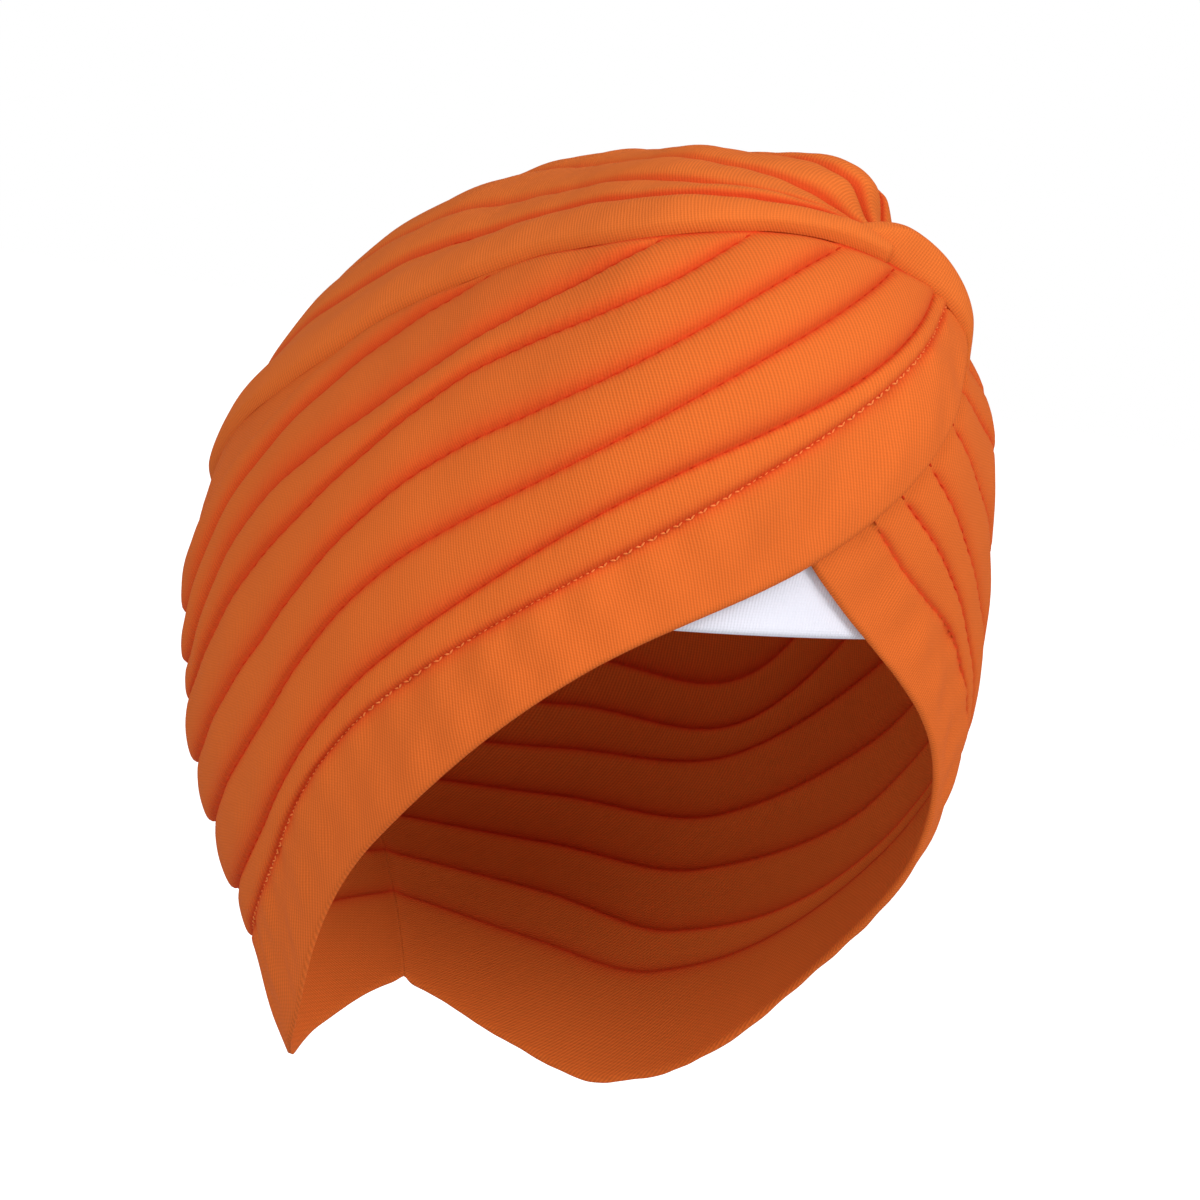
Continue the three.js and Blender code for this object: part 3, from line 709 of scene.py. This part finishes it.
def jersey(name, colour, groove_shade_colour, rib_shade_share, mottle_share, sheen, lean):
    """Matt knitted cloth: ribs with painted shade between them, painted shade in and beside the stitched
    grooves, soft unevenness of the dye.
    """
    material, tree, shader = new_material(name)
    ribs = tree.nodes.new("ShaderNodeGroup")
    ribs.node_tree = knit
    for label, value in (("Wale", KNIT["wale"]), ("Course", KNIT["course"]), ("Lean", lean)):
        ribs.inputs[label].default_value = value
    coordinates = tree.nodes.new("ShaderNodeTexCoord")
    mottle = tree.nodes.new("ShaderNodeTexNoise")
    mottle.inputs["Scale"].default_value = MOTTLE["scale"]
    mottle.inputs["Detail"].default_value = MOTTLE["detail"]
    tree.links.new(coordinates.outputs["Object"], mottle.inputs["Vector"])
    groove = tree.nodes.new("ShaderNodeAttribute")
    groove.attribute_name = "groove"
    darker = tuple(c * DARKER for c in colour)
    # painted shade in the valleys between the knit's ribs
    lowness = calculate(tree, "SUBTRACT", 1.0, ribs.outputs["Height"])
    rib_shade = calculate(tree, "MULTIPLY", lowness, rib_shade_share)
    cloth = blend_colour(tree, rib_shade, (*colour, 1), (*darker, 1))
    patch = calculate(tree, "MULTIPLY", mottle.outputs[0], mottle_share)
    cloth = blend_colour(tree, patch, cloth, (*darker, 1))
    # painted shade along the grooves, by the groove mask
    cloth = blend_colour(tree, groove.outputs["Fac"], cloth, (*groove_shade_colour, 1))
    tree.links.new(cloth, shader.inputs["Base Color"])
    bump = tree.nodes.new("ShaderNodeBump")
    bump.inputs["Strength"].default_value = KNIT_BUMP["strength"]
    bump.inputs["Distance"].default_value = KNIT_BUMP["depth"]
    tree.links.new(ribs.outputs["Height"], bump.inputs["Height"])
    tree.links.new(bump.outputs[0], shader.inputs["Normal"])
    shader.inputs["Roughness"].default_value = 0.9
    shader.inputs["Specular IOR Level"].default_value = 0.15
    shader.inputs["Sheen Weight"].default_value = sheen
    shader.inputs["Sheen Roughness"].default_value = 0.5
    shader.inputs["Sheen Tint"].default_value = (*colour, 1)
    return material


def thread(name, colour, dark):
    """Spun sewing thread, a little uneven along its length."""
    material, tree, shader = new_material(name)
    coordinates = tree.nodes.new("ShaderNodeTexCoord")
    twist = tree.nodes.new("ShaderNodeTexNoise")
    twist.inputs["Scale"].default_value = THREAD_TWIST
    tree.links.new(coordinates.outputs["Object"], twist.inputs["Vector"])
    spun = blend_colour(tree, twist.outputs[0], (*colour, 1), (*dark, 1))
    tree.links.new(spun, shader.inputs["Base Color"])
    shader.inputs["Roughness"].default_value = 0.8
    shader.inputs["Specular IOR Level"].default_value = 0.05
    return material


def pale_floor():
    """Grey floor for the light, plain white to the camera."""
    material, tree, shader = new_material("pale_floor")
    shader.inputs["Base Color"].default_value = (*FLOOR_GREY, 1)
    shader.inputs["Roughness"].default_value = 1.0
    shader.inputs["Emission Strength"].default_value = 1.0
    rays = tree.nodes.new("ShaderNodeLightPath")
    seen = blend_colour(tree, rays.outputs["Is Camera Ray"], (0, 0, 0, 1), (1, 1, 1, 1))
    tree.links.new(seen, shader.inputs["Emission Color"])
    return material


orange = jersey(
    "orange_jersey", ORANGE, GROOVE_SHADE_RED,
    rib_shade_share=0.5, mottle_share=0.14, sheen=0.2, lean=-0.4,
)
orange_across = jersey(
    "orange_jersey_across", ORANGE_ACROSS, GROOVE_SHADE_RED,
    rib_shade_share=0.42, mottle_share=0.14, sheen=0.2, lean=-0.15,
)
white = jersey(
    "white_jersey", WHITE_WITH_PAINTED_SHADE, WHITE_SHADE,
    rib_shade_share=0.08, mottle_share=0.05, sheen=0.1, lean=0.0,
)
groove_thread = thread("groove_thread", (0.62, 0.045, 0.008), (0.46, 0.03, 0.006))
hem_thread = thread("hem_thread", (0.90, 0.30, 0.09), (0.75, 0.16, 0.03))
# darker thread for the left hem: painted shade of the dimmer left side
shaded_hem_thread = thread("shaded_hem_thread", (0.58, 0.09, 0.014), (0.44, 0.06, 0.01))


# Pieces

def dress(piece, node):
    """Puts a cloth sheet in the place of its solid."""
    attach(piece, "root")
    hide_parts(node)


right = wrap_panel("right_wrap_cloth", False, orange)
left = wrap_panel("left_wrap_cloth", True, orange)
crown = crown_panel(orange_across)
strap = knot_band(orange_across)
brow = forehead_insert(white)
dress(right, "wrap_right")
dress(left, "wrap_left")
dress(crown, "crown_panel")
dress(strap, "knot_band")
dress(brow, "forehead_insert")


# Stitches

def stitch_tree():
    """Thread laid along a line: evenly spaced stitches that follow it and lie on the cloth."""
    tree = bpy.data.node_groups.new("stitch_line", "GeometryNodeTree")
    tree.interface.new_socket("Line", in_out="INPUT", socket_type="NodeSocketGeometry")
    for label in STITCH_SIZES:
        tree.interface.new_socket(label, in_out="INPUT", socket_type="NodeSocketFloat")
    tree.interface.new_socket("Thread", in_out="INPUT", socket_type="NodeSocketMaterial")
    tree.interface.new_socket("Stitches", in_out="OUTPUT", socket_type="NodeSocketGeometry")
    given = tree.nodes.new("NodeGroupInput")
    out = tree.nodes.new("NodeGroupOutput")

    def node(kind, setting=None, **sockets):
        made = tree.nodes.new(kind)
        if setting:
            setattr(made, *setting)
        for label, value in sockets.items():
            feed(tree, made.inputs[label.replace("_", " ")], value)
        return made

    line = node("GeometryNodeMeshToCurve", Mesh=given.outputs["Line"])
    spaced = node(
        "GeometryNodeResampleCurve",
        ("mode", "LENGTH"),
        Curve=line.outputs[0],
        Length=given.outputs["Pitch"],
    )
    bead = node("GeometryNodeMeshUVSphere", Segments=8, Rings=5, Radius=0.5)
    long, thick = given.outputs["Length"], given.outputs["Width"]
    size = node("ShaderNodeCombineXYZ", X=long, Y=thick, Z=thick)
    away = node("GeometryNodeInputNamedAttribute", ("data_type", "FLOAT_VECTOR"), Name="out")
    along = node("GeometryNodeInputTangent")
    aligned = node("FunctionNodeAlignRotationToVector", ("axis", "X"), Vector=along.outputs[0])
    upright = node("FunctionNodeAlignRotationToVector", Rotation=aligned.outputs[0], Vector=away.outputs[0])
    upright.axis = "Z"
    upright.pivot_axis = "X"
    order = node("GeometryNodeInputIndex")
    odd = calculate(tree, "MODULO", order.outputs[0], 2)
    side = calculate(tree, "MULTIPLY_ADD", odd, 2, -1)
    swing = node("ShaderNodeCombineXYZ", Z=calculate(tree, "MULTIPLY", side, given.outputs["Lean"]))
    turn = node("FunctionNodeEulerToRotation", Euler=swing.outputs[0])
    leaning = node("FunctionNodeRotateRotation", Rotation=upright.outputs[0], Rotate_By=turn.outputs[0])
    leaning.rotation_space = "LOCAL"
    laid = node(
        "GeometryNodeInstanceOnPoints",
        Points=spaced.outputs[0],
        Instance=bead.outputs["Mesh"],
        Rotation=leaning.outputs[0],
        Scale=size.outputs[0],
    )
    solid = node("GeometryNodeRealizeInstances", Geometry=laid.outputs[0])
    rounded = node("GeometryNodeSetShadeSmooth", Geometry=solid.outputs[0])
    thread_given = given.outputs["Thread"]
    coloured = node("GeometryNodeSetMaterial", Geometry=rounded.outputs[0], Material=thread_given)
    tree.links.new(coloured.outputs[0], out.inputs[0])
    return tree


stitch_line = stitch_tree()


def sew(name, lines, stitch, material):
    """One piece of stitches along these lines, each a list of points and of ways out of the cloth."""
    points = np.concatenate([line for line, _ in lines])
    ways = np.concatenate([out for _, out in lines])
    edges, start = [], 0
    for line, _ in lines:
        edges.extend((start + k, start + k + 1) for k in range(len(line) - 1))
        start += len(line)
    guide_mesh = bpy.data.meshes.new(name + "_guide")
    guide_mesh.from_pydata(points.tolist(), edges, [])
    attribute = guide_mesh.attributes.new("out", "FLOAT_VECTOR", "POINT")
    attribute.data.foreach_set("vector", ways.astype(np.float32).ravel())
    guide = bpy.data.objects.new(name + "_guide", guide_mesh)
    bpy.context.scene.collection.objects.link(guide)
    modifier = guide.modifiers.new("stitches", "NODES")
    modifier.node_group = stitch_line
    values = {label: stitch[label.lower()] for label in STITCH_SIZES}
    values["Thread"] = material
    for item in stitch_line.interface.items_tree:
        if item.name in values:
            modifier[item.identifier] = values[item.name]
    evaluated = guide.evaluated_get(bpy.context.evaluated_depsgraph_get())
    mesh = bpy.data.meshes.new_from_object(evaluated)
    bpy.data.objects.remove(guide)
    piece = bpy.data.objects.new(name, mesh)
    bpy.context.scene.collection.objects.link(piece)
    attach(piece, "root")
    return piece


def fold_line(fold, left, sink):
    """Points along a sewn fold of a side panel where it shows, and the ways out of the cloth there."""
    azimuth = np.linspace(*STITCH_SPAN, FOLD_LINE_POINTS)
    elevation = fold_elevations(azimuth, left)[fold]
    shows = elevation < ridge_elevation(azimuth) - CLEAR_OF_RIDGE
    if left:
        shows &= (-azimuth < FOLD_STATIONS[0]) | (elevation < hem_above(azimuth) - CLEAR_OF_HEM)
    azimuth, elevation = azimuth[shows], elevation[shows]
    dirs = direction(-azimuth if left else azimuth, elevation)
    top, _, _ = panel_heights(azimuth, elevation, left)
    return on_head(dirs, top - sink), dirs


def crown_line(fold, start, end, sink):
    """Points along a fold line of the crown between two shares of its length, and the ways out there."""
    along = np.linspace(start, end, CROWN_LINE_POINTS)
    across = crown_spots(along)[:, fold]
    wide = np.full_like(along, FULL_FOLD)
    top, _, _ = crown_heights(along, across, np.zeros_like(along), wide)
    dirs = crown_direction(along, across)
    return on_head(dirs, top - sink), dirs


for side, left_side in (("right", False), ("left", True)):
    sewn = [fold_line(fold, left_side, FOLD_STITCH["sink"]) for fold in range(2, len(FOLDS))]
    sewn = [(line, out) for line, out in sewn if len(line) > 1]
    sew(side + "_pleat_stitches", sewn, FOLD_STITCH, groove_thread)
    # the left hem's stitches are darker, painted shade of that side
    hem_stitch, hem_colour = (PLAIN_STITCH, shaded_hem_thread) if left_side else (HEM_STITCH, hem_thread)
    sew(side + "_hem_stitches", [fold_line(1, left_side, hem_stitch["sink"])], hem_stitch, hem_colour)

crown_sewn = [crown_line(fold, *span, CROWN_STITCH["sink"]) for fold, span in CROWN_SEWN.items()]
sew("crown_stitches", crown_sewn, CROWN_STITCH, groove_thread)


# Stage, light and camera

floor_mesh = bpy.data.meshes.new("floor")
corners = [(x * FLOOR_HALF, y * FLOOR_HALF, FLOOR_LEVEL) for x, y in ((-1, -1), (1, -1), (1, 1), (-1, 1))]
floor_mesh.from_pydata(corners, [], [(0, 1, 2, 3)])
floor = bpy.data.objects.new("floor", floor_mesh)
floor_mesh.materials.append(pale_floor())
bpy.context.scene.collection.objects.link(floor)

scene = bpy.context.scene
scene.view_settings.view_transform = "Standard"
world = bpy.data.worlds.new("studio")
world.use_nodes = True
sky = world.node_tree.nodes["Background"]
sky.inputs["Color"].default_value = (1, 1, 1, 1)
rays = world.node_tree.nodes.new("ShaderNodeLightPath")
seen = world.node_tree.nodes.new("ShaderNodeMix")
seen.inputs["A"].default_value = SKY
seen.inputs["B"].default_value = 1.0
world.node_tree.links.new(rays.outputs["Is Camera Ray"], seen.inputs[0])
world.node_tree.links.new(seen.outputs[0], sky.inputs["Strength"])
scene.world = world


def soft_box(name, place, size, power):
    light = bpy.data.lights.new(name, "AREA")
    light.size = size
    light.energy = power
    lamp = bpy.data.objects.new(name, light)
    lamp.location = place
    lamp.rotation_mode = "QUATERNION"
    lamp.rotation_quaternion = (-Vector(place)).to_track_quat("-Z", "Y")
    scene.collection.objects.link(lamp)


for name, light in LIGHTS.items():
    soft_box(name, **light)

yaw, tilt, roll = (math.radians(x) for x in (CAMERA_AZIMUTH, CAMERA_ELEVATION, CAMERA_ROLL))
back = Vector((-math.sin(yaw) * math.cos(tilt), -math.cos(yaw) * math.cos(tilt), math.sin(tilt)))
level = Vector((math.cos(yaw), -math.sin(yaw), 0))
upright = back.cross(level)
right_way = math.cos(roll) * level + math.sin(roll) * upright
up_way = back.cross(right_way)
lens = bpy.data.cameras.new("camera")
lens.lens = CAMERA_LENS
camera = bpy.data.objects.new("camera", lens)
turn = Matrix((right_way, up_way, back)).transposed().to_4x4()
camera.matrix_world = Matrix.Translation(back * CAMERA_DISTANCE - up_way * CAMERA_AIM_DROP) @ turn
scene.collection.objects.link(camera)
scene.camera = camera
